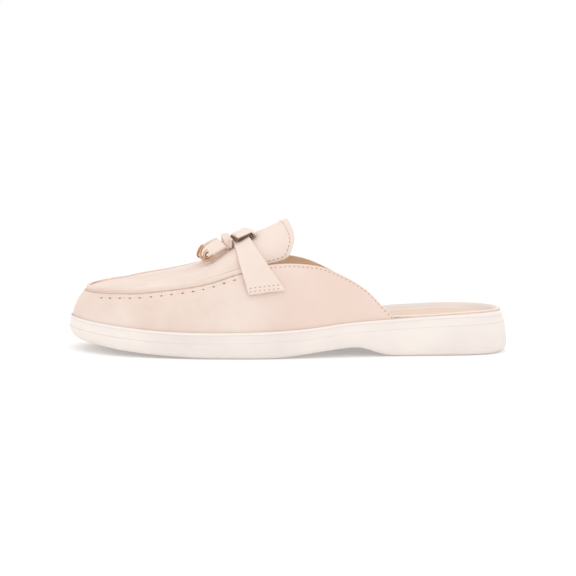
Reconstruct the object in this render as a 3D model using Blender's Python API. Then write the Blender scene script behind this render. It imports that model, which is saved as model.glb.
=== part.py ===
"""A women's loafer mule, left shoe: rubber sole, wrapped footbed, moccasin upper, tongue, straps and knot.

The toe points to -X, the lateral side to -Y, and the sole stands on z = 0. Lengths are in metres.
"""

from collections import namedtuple
from math import acos, cos, pi, radians, sin

import bmesh
import bpy
from mathutils import Vector

# Driving sizes
LENGTH = 0.2565
BALL_WIDTH = 0.0915
HEEL_HEIGHT = 0.0245
COLLAR_RISE = 0.0368
INSTEP_CROWN = 0.0150
CLEARANCE = 0.0003

# Outsole
LIP_WIDTH = 0.0014
LIP_HEIGHT = 0.0016
LIP_GROOVE = 0.0002
RECESS_DEPTH = 0.0050
SIDE_LINE_DROP = 0.0060
SIDE_STEP = 0.0004
SOLE_ROUND = 0.0030
TOE_ROUND = 0.0074
HEEL_ROUND = 0.0058
TOE_SPRING = 0.0058
ARCH_HEIGHT = 0.0053
HEEL_FLARE = 0.0034

# Footbed and insole
RIM_ABOVE_SOLE = 0.0014
RIM_WIDTH = 0.0020
RIM_HEIGHT = 0.0034
INSOLE_THICKNESS = 0.0012

# Upper
UPPER_WALL = 0.0020
BEAD_RADIUS = 0.0016
SEAM_CREASE = 0.0005

# Places along the shoe, as shares of its length: where the collar ends, where vamp and tongue meet,
# over what stretch the raised seam fades out, and the tongue's rear edge
COLLAR_END = 0.708
THROAT = 0.372
SEAM_FADE = 0.016
TONGUE_REAR = 0.4793

# Tongue
TONGUE_WALL = 0.0020
TONGUE_TIP_HEIGHT = 0.0762
TONGUE_BOW = 0.0030
TONGUE_CORNER = 0.0050

# Straps, knot, loop, tails and their rims
STRAP_THICKNESS = 0.0016
STRAP_WIDTH = 0.0216
KNOT_LENGTH = 0.0050
KNOT_WIDTH = 0.0160
KNOT_HEIGHT = 0.0068
KNOT_DROOP = 0.0011
KNOT_TILT = 14.0
LOOP_THICKNESS = 0.0015
LOOP_WIDTH = 0.0250
LOOP_LENGTH = 0.0110
LOOP_RISE = 0.0013
TAIL_LENGTH = 0.0140
TAIL_WIDTH = 0.0088
TAIL_THICKNESS = 0.0016
TAIL_BOW = 0.0014
TAIL_DROP = 0.0012
TIP_DIAMETER = 0.0014

# Plan of the sole's widest line: half width and centre shift as shares of the ball width
Plan = namedtuple("Plan", "along half shift")
PLAN = (
    Plan(0.00, 0.000, 0.033),
    Plan(0.02, 0.197, 0.033),
    Plan(0.06, 0.317, 0.025),
    Plan(0.12, 0.407, 0.019),
    Plan(0.20, 0.467, 0.010),
    Plan(0.28, 0.495, 0.005),
    Plan(0.36, 0.497, -0.003),
    Plan(0.45, 0.458, -0.022),
    Plan(0.55, 0.397, -0.035),
    Plan(0.65, 0.352, -0.033),
    Plan(0.75, 0.330, -0.022),
    Plan(0.85, 0.330, -0.008),
    Plan(0.92, 0.298, 0.000),
    Plan(0.97, 0.212, 0.000),
    Plan(1.00, 0.000, 0.000),
)

# Side view of the sole: its top as a share of the heel height, its underside as shares of spring and arch
Side = namedtuple("Side", "along top spring arch")
SIDE = (
    Side(0.00, 0.800, 1.00, 0.00),
    Side(0.04, 0.745, 0.86, 0.00),
    Side(0.11, 0.675, 0.48, 0.00),
    Side(0.18, 0.622, 0.20, 0.00),
    Side(0.25, 0.606, 0.05, 0.00),
    Side(0.29, 0.606, 0.00, 0.00),
    Side(0.36, 0.618, 0.00, 0.00),
    Side(0.43, 0.640, 0.00, 0.00),
    Side(0.495, 0.680, 0.00, 0.30),
    Side(0.545, 0.735, 0.00, 0.62),
    Side(0.59, 0.795, 0.00, 0.88),
    Side(0.625, 0.825, 0.00, 1.00),
    Side(0.66, 0.848, 0.00, 0.55),
    Side(0.69, 0.865, 0.00, 0.08),
    Side(0.71, 0.876, 0.00, 0.00),
    Side(0.78, 0.918, 0.00, 0.00),
    Side(0.87, 0.965, 0.00, 0.00),
    Side(1.00, 1.000, 0.00, 0.00),
)

# Top line of the upper: inset from the sole's plan as a share of the ball width, height above the
# sole and medial lift as shares of the collar rise, and crown across as a share of the instep crown
Top = namedtuple("Top", "along inset rise lift crown")
TOP = (
    Top(0.00, 0.112, 0.440, 0.00, 0.00),
    Top(0.04, 0.122, 0.478, 0.02, 0.02),
    Top(0.08, 0.128, 0.515, 0.04, 0.03),
    Top(0.123, 0.131, 0.555, 0.05, 0.05),
    Top(0.16, 0.131, 0.610, 0.06, 0.07),
    Top(0.20, 0.131, 0.660, 0.06, 0.10),
    Top(0.25, 0.130, 0.720, 0.06, 0.15),
    Top(0.29, 0.128, 0.780, 0.05, 0.26),
    Top(0.32, 0.124, 0.850, 0.04, 0.40),
    Top(0.35, 0.119, 0.915, 0.02, 0.58),
    Top(0.38, 0.112, 0.958, 0.00, 0.78),
    Top(0.395, 0.108, 0.972, 0.00, 0.90),
    Top(0.415, 0.104, 0.985, 0.00, 1.08),
    Top(0.445, 0.099, 1.000, 0.00, 1.20),
    Top(0.48, 0.096, 0.992, 0.00, 1.24),
    Top(0.52, 0.092, 0.946, 0.00, 1.24),
    Top(0.545, 0.090, 0.900, 0.00, 1.24),
    Top(0.57, 0.086, 0.816, 0.00, 1.24),
    Top(0.595, 0.082, 0.716, 0.00, 1.24),
    Top(0.62, 0.077, 0.610, 0.00, 1.24),
    Top(0.648, 0.069, 0.470, 0.00, 1.24),
    Top(0.667, 0.060, 0.335, 0.00, 1.24),
    Top(0.683, 0.049, 0.200, 0.00, 1.24),
    Top(0.70, 0.037, 0.075, 0.00, 1.24),
    Top(0.708, 0.029, 0.028, 0.00, 1.24),
)

# Tongue stations: lift of its middle above the crown line as a share of the tip's lift, half width as a
# share of the ball width, and fall from the middle to the side edge as a share of the instep crown
Tongue = namedtuple("Tongue", "along lift half fall")
TONGUE = (
    Tongue(0.390, 0.00, 0.322, 0.93),
    Tongue(0.410, 0.02, 0.298, 1.07),
    Tongue(0.435, 0.09, 0.278, 1.20),
    Tongue(0.460, 0.51, 0.259, 1.28),
    Tongue(0.479, 1.00, 0.245, 1.30),
    Tongue(0.495, 1.13, 0.238, 1.36),
)

# Strap stations from its foot on the side to its top on the crown: place along the shoe of its middle,
# place around the section, where 1 is the sole's edge and 0 the crown, and width as a share of the foot's
Strap = namedtuple("Strap", "share along around width")
STRAP = (
    Strap(0.00, 0.4126, 0.715, 1.00),
    Strap(0.16, 0.3976, 0.600, 0.853),
    Strap(0.30, 0.3866, 0.500, 0.724),
    Strap(0.50, 0.3813, 0.360, 0.571),
    Strap(0.72, 0.3800, 0.200, 0.472),
    Strap(1.00, 0.3835, 0.012, 0.400),
)

# Lip and side of the outsole from its top down: inset as a share of the lip's width, drop below the top as
# a share of the lip's height
Lip = namedtuple("Lip", "inset drop")
LIP = (
    Lip(1.00, 0.30),
    Lip(0.70, 0.00),
    Lip(0.45, 0.20),
    Lip(0.36, 0.70),
)

# Rounded lower edge of the outsole, a quarter circle: inset and rise as shares of its radius
Edge = namedtuple("Edge", "inset rise")
EDGE = (
    Edge(0.000, 1.000),
    Edge(0.134, 0.500),
    Edge(0.500, 0.134),
    Edge(1.000, 0.000),
)

# Knot sections along its length, each with its share of the full width and height
Knot = namedtuple("Knot", "share fullness")
KNOT = (
    Knot(-0.50, 0.80),
    Knot(-0.42, 0.92),
    Knot(-0.15, 1.00),
    Knot(0.15, 1.00),
    Knot(0.42, 0.92),
    Knot(0.50, 0.80),
)

# Directions of a tail: down its length and across its width, for the medial side
TAIL_DOWN = (-0.82, 0.10, -0.60)
TAIL_ACROSS = (0.32, 0.76, -0.56)

# Colours are linear red, green and blue
CREAM_RUBBER = (0.86, 0.79, 0.70)
PALE_WRAP = (0.84, 0.66, 0.56)
TAN_SOCK = (0.72, 0.47, 0.30)
BLUSH_SUEDE = (0.86, 0.70, 0.62)
ROSE_GOLD = (0.75, 0.45, 0.27)

# Counts of faces
STATIONS = 60
APRON_COLUMNS = 8
SECTION_SAMPLES = 10
TONGUE_ROWS = 9
STRAP_ROWS = 13
LOOP_ROWS = 11
BAND_COLUMNS = 5
KNOT_POINTS = 20
TIP_STEPS = 14

# Shapes of curves
CROWN_POWER = 2.2
KNOT_SQUARENESS = 0.7
SURFACE_GAP = 1.6 * CLEARANCE
ARC_SHARE = 0.985
CORNER_SHARE = 0.82
STRAP_FOOT_SLANT = 0.012
LOOP_LANDING_SHARE = 0.74
LOOP_FALL_SHARE = 0.15
TAIL_SPREAD_SHARE = 0.62

# How far the wall leans in over the footbed at the toe and along the sides, as shares of the ball width
TOE_WALL_LEAN = 0.085
SIDE_WALL_LEAN = 0.030


def clear_scene():
    for item in list(bpy.data.objects):
        bpy.data.objects.remove(item, do_unlink=True)


def make_material(name, colour, roughness, metallic=0.0):
    material = bpy.data.materials.new(name)
    material.use_nodes = True
    shader = material.node_tree.nodes["Principled BSDF"]
    shader.inputs["Base Color"].default_value = (*colour, 1.0)
    shader.inputs["Roughness"].default_value = roughness
    shader.inputs["Metallic"].default_value = metallic
    return material


def column(rows, name):
    """A smooth monotone curve through one named column of a table, as a function of its first column."""
    places = [row[0] for row in rows]
    values = [getattr(row, name) for row in rows]
    spans = [b - a for a, b in zip(places, places[1:])]
    slopes = [(b - a) / span for a, b, span in zip(values, values[1:], spans)]
    tangents = [slopes[0]]
    for before, after, left, right in zip(slopes, slopes[1:], spans, spans[1:]):
        if before * after <= 0:
            tangents.append(0.0)
            continue
        near = 2 * right + left
        far = right + 2 * left
        tangents.append((near + far) / (near / before + far / after))
    tangents.append(slopes[-1])

    def value(place):
        index = 0
        while index < len(spans) - 1 and place > places[index + 1]:
            index += 1
        span = spans[index]
        u = min(max((place - places[index]) / span, 0.0), 1.0)
        ease = u * u * (3 - 2 * u)
        rise = span * u * (1 - u) * (1 - u)
        settle = -span * u * u * (1 - u)
        start = values[index] * (1 - ease) + tangents[index] * rise
        return start + values[index + 1] * ease + tangents[index + 1] * settle

    return value


def by_angle(rows):
    """The same table with its place turned into the angle of a half circle, so round ends stay round."""
    return [row._replace(along=acos(1 - 2 * row.along)) for row in rows]


half_width = column(by_angle(PLAN), "half")
centre_shift = column(by_angle(PLAN), "shift")
sole_top_share = column(SIDE, "top")
spring_share = column(SIDE, "spring")
arch_share = column(SIDE, "arch")
top_inset_share = column(TOP, "inset")
rise_share = column(TOP, "rise")
lift_share = column(TOP, "lift")
crown_share = column(TOP, "crown")


def smooth_step(low, high, place):
    u = min(max((place - low) / (high - low), 0.0), 1.0)
    return u * u * (3 - 2 * u)


def along_of(x):
    return min(max(x / LENGTH + 0.5, 0.0), 1.0)


def angle_of(along):
    return acos(1 - 2 * along)


def sole_top(x):
    return HEEL_HEIGHT * sole_top_share(along_of(x))


def sole_bottom(x):
    along = along_of(x)
    return TOE_SPRING * spring_share(along) + ARCH_HEIGHT * arch_share(along)


def heel_lean(along):
    """How far the sole's top edge stands in from its widest line at the heel."""
    return HEEL_FLARE * smooth_step(0.72, 1.0, along)


def plan_point(side, angle):
    y = BALL_WIDTH * (centre_shift(angle) + side * half_width(angle))
    return Vector((-0.5 * LENGTH * cos(angle), y))


def plan_inward(side, angle):
    """The unit normal of the plan that points into the shoe; side is -1 lateral, 1 medial."""
    step = 0.004
    low = max(angle - step, 0.0)
    high = min(angle + step, pi)
    if angle <= step:
        return Vector((1.0, 0.0))
    if angle >= pi - step:
        return Vector((-1.0, 0.0))
    tangent = plan_point(side, high) - plan_point(side, low)
    return Vector((side * tangent.y, -side * tangent.x)).normalized()


def inset_point(side, angle, inset):
    return plan_point(side, angle) + plan_inward(side, angle) * inset


def shelf_inset(along):
    """Inset of the recess wall behind the sole's lip."""
    return LIP_WIDTH + heel_lean(along)


def loop_angles():
    """Side and angle of each point round the sole: lateral from toe to heel, then medial back."""
    angles = [pi * index / STATIONS for index in range(STATIONS + 1)]
    lateral = [(-1, angle) for angle in angles]
    medial = [(1, angle) for angle in reversed(angles[1:-1])]
    return lateral + medial


def ring(inset_of, height_of):
    """A closed ring of points round the shoe, each from its inset and its own height."""
    points = []
    for side, angle in loop_angles():
        along = 0.5 * (1 - cos(angle))
        flat = inset_point(side, angle, inset_of(along))
        points.append(Vector((flat.x, flat.y, height_of(flat.x))))
    return points


def finish_mesh(name, mesh, material, smooth_angle=40):
    bmesh.ops.recalc_face_normals(mesh, faces=mesh.faces)
    data = bpy.data.meshes.new(name)
    mesh.to_mesh(data)
    mesh.free()
    data.materials.append(material)
    data.shade_smooth()
    data.set_sharp_from_angle(angle=radians(smooth_angle))
    item = bpy.data.objects.new(name, data)
    shoe_parts.objects.link(item)
    return item


def cap_ring(mesh, verts):
    """Closes a ring with strips that join each lateral point to the medial point opposite."""
    count = len(verts)
    for index in range(1, STATIONS - 1):
        lateral_pair = (verts[index], verts[index + 1])
        medial_pair = (verts[count - index - 1], verts[count - index])
        mesh.faces.new((*lateral_pair, *medial_pair))
    mesh.faces.new((verts[0], verts[1], verts[count - 1]))
    mesh.faces.new((verts[STATIONS - 1], verts[STATIONS], verts[STATIONS + 1]))


def loft_rings(name, rings, material):
    """A closed solid from rings, each joined to the next, with a cap on the first and the last."""
    mesh = bmesh.new()
    loops = [[mesh.verts.new(point) for point in points] for points in rings]
    for lower, upper in zip(loops, loops[1:]):
        for index in range(len(lower)):
            after = (index + 1) % len(lower)
            mesh.faces.new((lower[index], lower[after], upper[after], upper[index]))
    cap_ring(mesh, loops[0])
    cap_ring(mesh, loops[-1])
    return finish_mesh(name, mesh, material)


def edge_round(along):
    """Radius of the sole's lower edge, larger round the toe and at the back of the heel."""
    toe = (TOE_ROUND - SOLE_ROUND) * (1 - smooth_step(0.0, 0.10, along))
    heel = (HEEL_ROUND - SOLE_ROUND) * smooth_step(0.93, 1.0, along)
    return SOLE_ROUND + toe + heel


def lip_ring(row):
    def inset(along):
        return heel_lean(along) + row.inset * LIP_WIDTH

    def height(x):
        return sole_top(x) - row.drop * LIP_HEIGHT

    return ring(inset, height)


def side_ring(lean_share, extra, drop):
    """A ring on the sole's side, drop below its top; lean_share is what is left of the heel's lean."""
    def inset(along):
        return heel_lean(along) * lean_share + extra

    return ring(inset, lambda x: sole_top(x) - drop)


def edge_ring(row):
    def inset(along):
        return row.inset * edge_round(along)

    def height(x):
        return sole_bottom(x) + row.rise * edge_round(along_of(x))

    return ring(inset, height)


def build_outsole():
    rings = [ring(shelf_inset, lambda x: sole_top(x) - RECESS_DEPTH)]
    rings += [lip_ring(row) for row in LIP]
    rings.append(side_ring(0.9, LIP[-1].inset * LIP_WIDTH + LIP_GROOVE, LIP_HEIGHT))
    rings.append(side_ring(0.7, SIDE_STEP, SIDE_LINE_DROP - SIDE_STEP))
    rings.append(side_ring(0.7, 0.0, SIDE_LINE_DROP))
    rings += [edge_ring(row) for row in EDGE]
    return loft_rings("outsole", rings, make_material("cream rubber", CREAM_RUBBER, 0.55))


def footbed_inset(along):
    """Behind the lip at the open heel, and inside the upper's wall in front of the collar's end."""
    open_heel = shelf_inset(along) + CLEARANCE
    wall_lean = TOE_WALL_LEAN + (SIDE_WALL_LEAN - TOE_WALL_LEAN) * smooth_step(0.0, 0.15, along)
    covered = shelf_inset(along) + UPPER_WALL + 3 * CLEARANCE + wall_lean * BALL_WIDTH
    blend = smooth_step(COLLAR_END + 0.006, COLLAR_END + 0.030, along)
    return covered + (open_heel - covered) * blend


def build_footbed():
    def rim_ring(width_share, rise):
        return ring(
            lambda along: footbed_inset(along) + width_share * RIM_WIDTH,
            lambda x: sole_top(x) + rise,
        )

    rings = [
        rim_ring(0.0, CLEARANCE - RECESS_DEPTH),
        rim_ring(0.0, 0.7 * RIM_ABOVE_SOLE),
        rim_ring(0.5, RIM_ABOVE_SOLE),
        rim_ring(1.0, 0.7 * RIM_ABOVE_SOLE),
        ring(lambda along: footbed_inset(along) + RIM_WIDTH, insole_floor),
    ]
    return loft_rings("footbed", rings, make_material("pale wrapped board", PALE_WRAP, 0.6))


def insole_floor(x):
    return sole_top(x) + RIM_ABOVE_SOLE - RIM_HEIGHT - INSOLE_THICKNESS - CLEARANCE


def build_insole():
    def edge(along):
        return footbed_inset(along) + RIM_WIDTH + CLEARANCE

    def soft_edge(along):
        return edge(along) + 0.5 * INSOLE_THICKNESS

    rings = [
        ring(edge, lambda x: insole_floor(x) + CLEARANCE),
        ring(edge, lambda x: insole_floor(x) + CLEARANCE + 0.6 * INSOLE_THICKNESS),
        ring(soft_edge, lambda x: insole_floor(x) + CLEARANCE + INSOLE_THICKNESS),
    ]
    return loft_rings("insole", rings, make_material("tan sock", TAN_SOCK, 0.7))


def top_inset(along):
    return max(BALL_WIDTH * top_inset_share(along), shelf_inset(along) + CLEARANCE)


def top_height(side, along):
    lift = 0.5 * (1 + side) * lift_share(along)
    return COLLAR_RISE * (rise_share(along) + lift)


def bezier(start, bend, end, u):
    return start * (1 - u) * (1 - u) + bend * 2 * u * (1 - u) + end * u * u


def wall_curve(side, along, depth):
    """Start, bend and end of the side wall in inset and height above the sole, depth into the wall."""
    foot = shelf_inset(along) + CLEARANCE
    end = top_inset(along)
    rise = top_height(side, along)
    under_apron = 1 - smooth_step(THROAT - 0.02, THROAT + 0.02, along)
    toe = 1 - smooth_step(0.0, 0.12, along)
    bend_inset = foot + (end - foot) * (0.10 + 0.08 * toe)
    start = Vector((foot + depth, 0.0))
    bend = Vector((bend_inset + depth, rise * (0.62 - 0.06 * toe)))
    top = Vector((end + depth * (1 - 0.2 * under_apron), rise - depth * under_apron))
    return start, bend, top


WALL_SHARES = (0.0, 0.22, 0.44, 0.64, 0.80)
BEAD_ANGLES = (-20, 25, 60, 92)
BEAD_SHARES = (0.955, 0.97, 0.985, 1.0)
CREASE_SHARE = 0.92
OVER_BEAD_ANGLE = 135
APRON_START = 0.90


def bead_weight(along):
    """The raised seam runs round the apron and fades out under the straps."""
    return 1 - smooth_step(THROAT - SEAM_FADE, THROAT, along)


def bead_point(side, along, angle_degrees):
    top = Vector((top_inset(along), top_height(side, along)))
    centre = top + Vector((0.35 * BEAD_RADIUS, -0.35 * BEAD_RADIUS))
    turn = radians(angle_degrees)
    return centre + Vector((-cos(turn), sin(turn))) * BEAD_RADIUS


def outer_wall(side, along):
    """Outer profile from the recess up to the seam's crest, as insets and heights above the sole."""
    start, bend, top = wall_curve(side, along, 0.0)
    weight = bead_weight(along)
    rows = [Vector((start.x, -RECESS_DEPTH + CLEARANCE))]
    rows += [bezier(start, bend, top, share) for share in WALL_SHARES]
    crease = bezier(start, bend, top, CREASE_SHARE)
    crease.x += SEAM_CREASE * weight
    rows.append(crease)
    for turn, share in zip(BEAD_ANGLES, BEAD_SHARES):
        plain = bezier(start, bend, top, share)
        rows.append(plain.lerp(bead_point(side, along, turn), weight))
    return rows


def inner_wall(side, along):
    """Inner profile with as many rows, spread evenly and without the seam."""
    start, bend, top = wall_curve(side, along, UPPER_WALL)
    rows = [Vector((start.x, -RECESS_DEPTH + CLEARANCE))]
    count = len(WALL_SHARES) + 1 + len(BEAD_ANGLES)
    rows += [bezier(start, bend, top, index / (count - 1)) for index in range(count)]
    return rows


def place(side, angle, inset, height):
    """A point from its inset and its height above the sole, measured at its own station."""
    flat = inset_point(side, angle, inset)
    datum = sole_top(-0.5 * LENGTH * cos(angle))
    return Vector((flat.x, flat.y, datum + height))


def apron_point(left, right, v, crown):
    """Across the apron between two edge points, v from -1 to 1."""
    base = left.lerp(right, 0.5 * (1 + v))
    return base + Vector((0, 0, crown * (1 - abs(v) ** CROWN_POWER)))


def apron_row(angle, depth, shares):
    along = 0.5 * (1 - cos(angle))
    edges = []
    for side in (-1, 1):
        top = wall_curve(side, along, depth)[2]
        edges.append(place(side, angle, top.x, top.y))
    crown = INSTEP_CROWN * crown_share(along)
    return [apron_point(edges[0], edges[1], v, crown) for v in shares]


def apron_shares():
    """Places across the apron, close together beside the seam."""
    columns = [-1 + 2 * index / APRON_COLUMNS for index in range(APRON_COLUMNS + 1)]
    return [v * APRON_START for v in columns]


def outer_apron(angle):
    along = 0.5 * (1 - cos(angle))
    weight = bead_weight(along)
    row = apron_row(angle, 0.0, [-0.95] + apron_shares() + [0.95])
    for side, index in ((-1, 0), (1, -1)):
        over = bead_point(side, along, OVER_BEAD_ANGLE)
        row[index] = row[index].lerp(place(side, angle, over.x, over.y), weight)
    return row


def inner_apron(angle):
    steps = APRON_COLUMNS + 4
    shares = [-1 + 2 * index / steps for index in range(1, steps)]
    return apron_row(angle, UPPER_WALL, shares)


def upper_angles():
    """The sole's own stations as far as the collar's end, with the last one exactly on it."""
    last = angle_of(COLLAR_END)
    angles = []
    index = 0
    while pi * index / STATIONS < last - 0.4 * pi / STATIONS:
        angles.append(pi * index / STATIONS)
        index += 1
    return angles + [last]


def throat_index(angles):
    limit = angle_of(THROAT)
    return min(range(len(angles)), key=lambda index: abs(angles[index] - limit))


def upper_layer(mesh, wall, apron, angles, throat):
    """One side of the wall as vertices: wall columns round the toe, and apron rows to the throat."""
    columns = {}
    for side in (-1, 1):
        for index, angle in enumerate(angles):
            if index == 0 and side == 1:
                columns[(1, 0)] = columns[(-1, 0)]
                continue
            along = 0.5 * (1 - cos(angle))
            rows = wall(side, along)
            columns[(side, index)] = [mesh.verts.new(place(side, angle, p.x, p.y)) for p in rows]
    rows = {}
    for index in range(1, throat + 1):
        rows[index] = [mesh.verts.new(point) for point in apron(angles[index])]
    return columns, rows


def join_layer(mesh, columns, rows, throat):
    last = max(index for _, index in columns)
    for side in (-1, 1):
        for index in range(last):
            here = columns[(side, index)]
            after = columns[(side, index + 1)]
            for row in range(len(here) - 1):
                mesh.faces.new((here[row], after[row], after[row + 1], here[row + 1]))
    for index in range(1, throat):
        here = full_row(columns, rows, index)
        after = full_row(columns, rows, index + 1)
        for step in range(len(here) - 1):
            mesh.faces.new((here[step], here[step + 1], after[step + 1], after[step]))
    tip = columns[(-1, 0)][-1]
    first = full_row(columns, rows, 1)
    for step in range(len(first) - 1):
        mesh.faces.new((tip, first[step], first[step + 1]))


def full_row(columns, rows, index):
    return [columns[(-1, index)][-1]] + rows[index] + [columns[(1, index)][-1]]


def boundary(columns, rows, throat):
    """The wall's free edge as one loop: feather line, collar ends, collar and throat."""
    last = max(index for _, index in columns)
    feather = [columns[(-1, index)][0] for index in range(last, 0, -1)]
    feather += [columns[(1, index)][0] for index in range(0, last)]
    medial_end = columns[(1, last)][:-1]
    medial_collar = [columns[(1, index)][-1] for index in range(last, throat, -1)]
    across = list(reversed(full_row(columns, rows, throat)))
    lateral_collar = [columns[(-1, index)][-1] for index in range(throat + 1, last + 1)]
    lateral_end = list(reversed(columns[(-1, last)][1:-1]))
    return feather + medial_end + medial_collar + across + lateral_collar + lateral_end


def build_upper():
    mesh = bmesh.new()
    angles = upper_angles()
    throat = throat_index(angles)
    outer = upper_layer(mesh, outer_wall, outer_apron, angles, throat)
    inner = upper_layer(mesh, inner_wall, inner_apron, angles, throat)
    join_layer(mesh, *outer, throat)
    join_layer(mesh, *inner, throat)
    outer_edge = boundary(*outer, throat)
    inner_edge = boundary(*inner, throat)
    for index in range(len(outer_edge)):
        after = (index + 1) % len(outer_edge)
        mesh.faces.new((outer_edge[index], outer_edge[after], inner_edge[after], inner_edge[index]))
    return finish_mesh("upper", mesh, make_material("blush suede", BLUSH_SUEDE, 0.85), 60)


def section_curve(along):
    """The upper's outer section from the lateral sole edge over the crown to the medial one."""
    angle = angle_of(along)
    points = []
    for side in (-1, 1):
        start, bend, top = wall_curve(side, along, 0.0)
        steps = [bezier(start, bend, top, index / SECTION_SAMPLES) for index in range(SECTION_SAMPLES)]
        points.append([place(side, angle, p.x, p.y) for p in steps])
    shares = [-1 + index / SECTION_SAMPLES for index in range(2 * SECTION_SAMPLES + 1)]
    return points[0] + apron_row(angle, 0.0, shares) + list(reversed(points[1]))


def at_length(points, share):
    """The point at a share of a line's own length."""
    lengths = [(b - a).length for a, b in zip(points, points[1:])]
    left = share * sum(lengths)
    for a, b, length in zip(points, points[1:], lengths):
        if left <= length:
            return a.lerp(b, left / length)
        left -= length
    return points[-1]


def on_section(along, around):
    """A point of the upper's outer form; around is -1 at the lateral edge, 0 at the crown, 1 medial."""
    return at_length(section_curve(along), 0.5 * (1 + around))


def section_normal(along, around):
    across = on_section(along, around + 0.03) - on_section(along, around - 0.03)
    forward = on_section(along + 0.01, around) - on_section(along - 0.01, around)
    return forward.cross(across).normalized()


def sheet_solid(name, upper_grid, lower_grid, material):
    """A closed solid between two grids of points with the same rows and columns."""
    mesh = bmesh.new()
    layers = []
    for grid in (upper_grid, lower_grid):
        layers.append([[mesh.verts.new(point) for point in row] for row in grid])
    for layer in layers:
        for here, after in zip(layer, layer[1:]):
            for step in range(len(here) - 1):
                mesh.faces.new((here[step], here[step + 1], after[step + 1], after[step]))
    edges = [grid_edge(layer) for layer in layers]
    for index in range(len(edges[0])):
        after = (index + 1) % len(edges[0])
        mesh.faces.new((edges[0][index], edges[0][after], edges[1][after], edges[1][index]))
    return finish_mesh(name, mesh, material, 60)


def grid_edge(layer):
    left = [row[0] for row in layer[1:-1]]
    right = [row[-1] for row in layer[1:-1]]
    return layer[0] + right + list(reversed(layer[-1])) + list(reversed(left))


def crown_line(along):
    """Height of the upper's own form along its middle."""
    height = COLLAR_RISE * rise_share(along) + INSTEP_CROWN * crown_share(along)
    return sole_top((along - 0.5) * LENGTH) + height


def tongue_arch(v):
    """Fall across the tongue from 0 at its middle to 1 at its side edge, round as an arc."""
    def arc(share):
        return 1 - (1 - (ARC_SHARE * share) ** 2) ** 0.5

    return arc(v) / arc(1.0)


def tongue_point(along, v):
    """The tongue's outer surface; v runs from -1 at its lateral edge to 1 at its medial edge."""
    half_apron = 0.5 * BALL_WIDTH - top_inset(along)
    inside = 1 - (UPPER_WALL + 3 * CLEARANCE) / half_apron
    front = apron_row(angle_of(along), 0.0, [inside * v])[0]
    across = BALL_WIDTH * (centre_shift(angle_of(along)) + v * tongue_half(along))
    tip_lift = TONGUE_TIP_HEIGHT - crown_line(TONGUE_REAR)
    fall = INSTEP_CROWN * tongue_fall(along) * tongue_arch(v)
    height = crown_line(along) + tip_lift * tongue_lift(along) - fall
    free = Vector(((along - 0.5) * LENGTH, across, height))
    return front.lerp(free, smooth_step(THROAT, TONGUE[1].along, along))


def grid_normal(point_at, row, across, step):
    """Normal of a surface given by two shares, pointing up."""
    forward = point_at(row + step, across) - point_at(row - step, across)
    sideways = point_at(row, min(across + 0.04, 1.0)) - point_at(row, max(across - 0.04, -1.0))
    return forward.cross(sideways).normalized()


def build_tongue():
    angles = upper_angles()
    start = 0.5 * (1 - cos(angles[throat_index(angles)])) + CLEARANCE / LENGTH
    turns = [-90 + 15 * index for index in range(13)]
    outer = []
    inner = []
    for index in range(TONGUE_ROWS):
        share = index / (TONGUE_ROWS - 1)
        outer_row = []
        inner_row = []
        for turn in turns:
            v = sin(radians(turn))
            corner = TONGUE_CORNER * max((abs(v) - CORNER_SHARE) / (1 - CORNER_SHARE), 0.0) ** 2
            rear = TONGUE_REAR + (TONGUE_BOW * v * v - corner) / LENGTH
            along = start + (rear - start) * share
            point = tongue_point(along, v)
            outer_row.append(point)
            inner_row.append(point - grid_normal(tongue_point, along, v, 0.004) * TONGUE_WALL)
        outer.append(outer_row)
        inner.append(inner_row)
    return sheet_solid("tongue", outer, inner, make_material("tongue suede", BLUSH_SUEDE, 0.85))


def strap_lift(along, around):
    """Clears the surface below, and the raised seam where the strap's front edge crosses it."""
    near_seam = max(1 - abs(around - 0.5) / 0.16, 0.0)
    over_seam = BEAD_RADIUS * bead_weight(along) * near_seam * (2 - near_seam)
    return SURFACE_GAP + over_seam


def strap_grids(side):
    lower = []
    upper = []
    for index in range(STRAP_ROWS):
        share = index / (STRAP_ROWS - 1)
        width = STRAP_WIDTH * strap_width(share) / LENGTH
        lower_row = []
        upper_row = []
        for step in range(BAND_COLUMNS):
            across = step / (BAND_COLUMNS - 1) - 0.5
            along = strap_along(share) + across * width
            around = strap_around(share) - STRAP_FOOT_SLANT * across * (1 - share)
            normal = section_normal(along, side * around)
            base = on_section(along, side * around) + normal * strap_lift(along, around)
            lower_row.append(base)
            upper_row.append(base + normal * STRAP_THICKNESS)
        lower.append(lower_row)
        upper.append(upper_row)
    return upper, lower


def build_strap(name, side):
    upper, lower = strap_grids(side)
    return sheet_solid(name, upper, lower, make_material(name + " suede", BLUSH_SUEDE, 0.85))


def strap_front():
    """Place along the shoe of the straps' front edge at the crown."""
    return STRAP[-1].along - 0.5 * STRAP_WIDTH * STRAP[-1].width / LENGTH


def knot_frame():
    """Centre of the knot with its long axis down the instep, its sideways axis and its upward axis."""
    tilt = radians(KNOT_TILT)
    forward = Vector((-cos(tilt), 0, -sin(tilt)))
    up = Vector((-sin(tilt), 0, cos(tilt)))
    seat = on_section(strap_front(), 0.0) + Vector((-5 * CLEARANCE, 0, 0))
    centre = seat + forward * 0.5 * KNOT_LENGTH + up * (0.5 * KNOT_HEIGHT + 2.5 * CLEARANCE)
    return centre, forward, Vector((0, 1, 0)), up


def rounded(value):
    """A cosine or sine turned toward a square with round corners."""
    return abs(value) ** KNOT_SQUARENESS * (1 if value >= 0 else -1)


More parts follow.
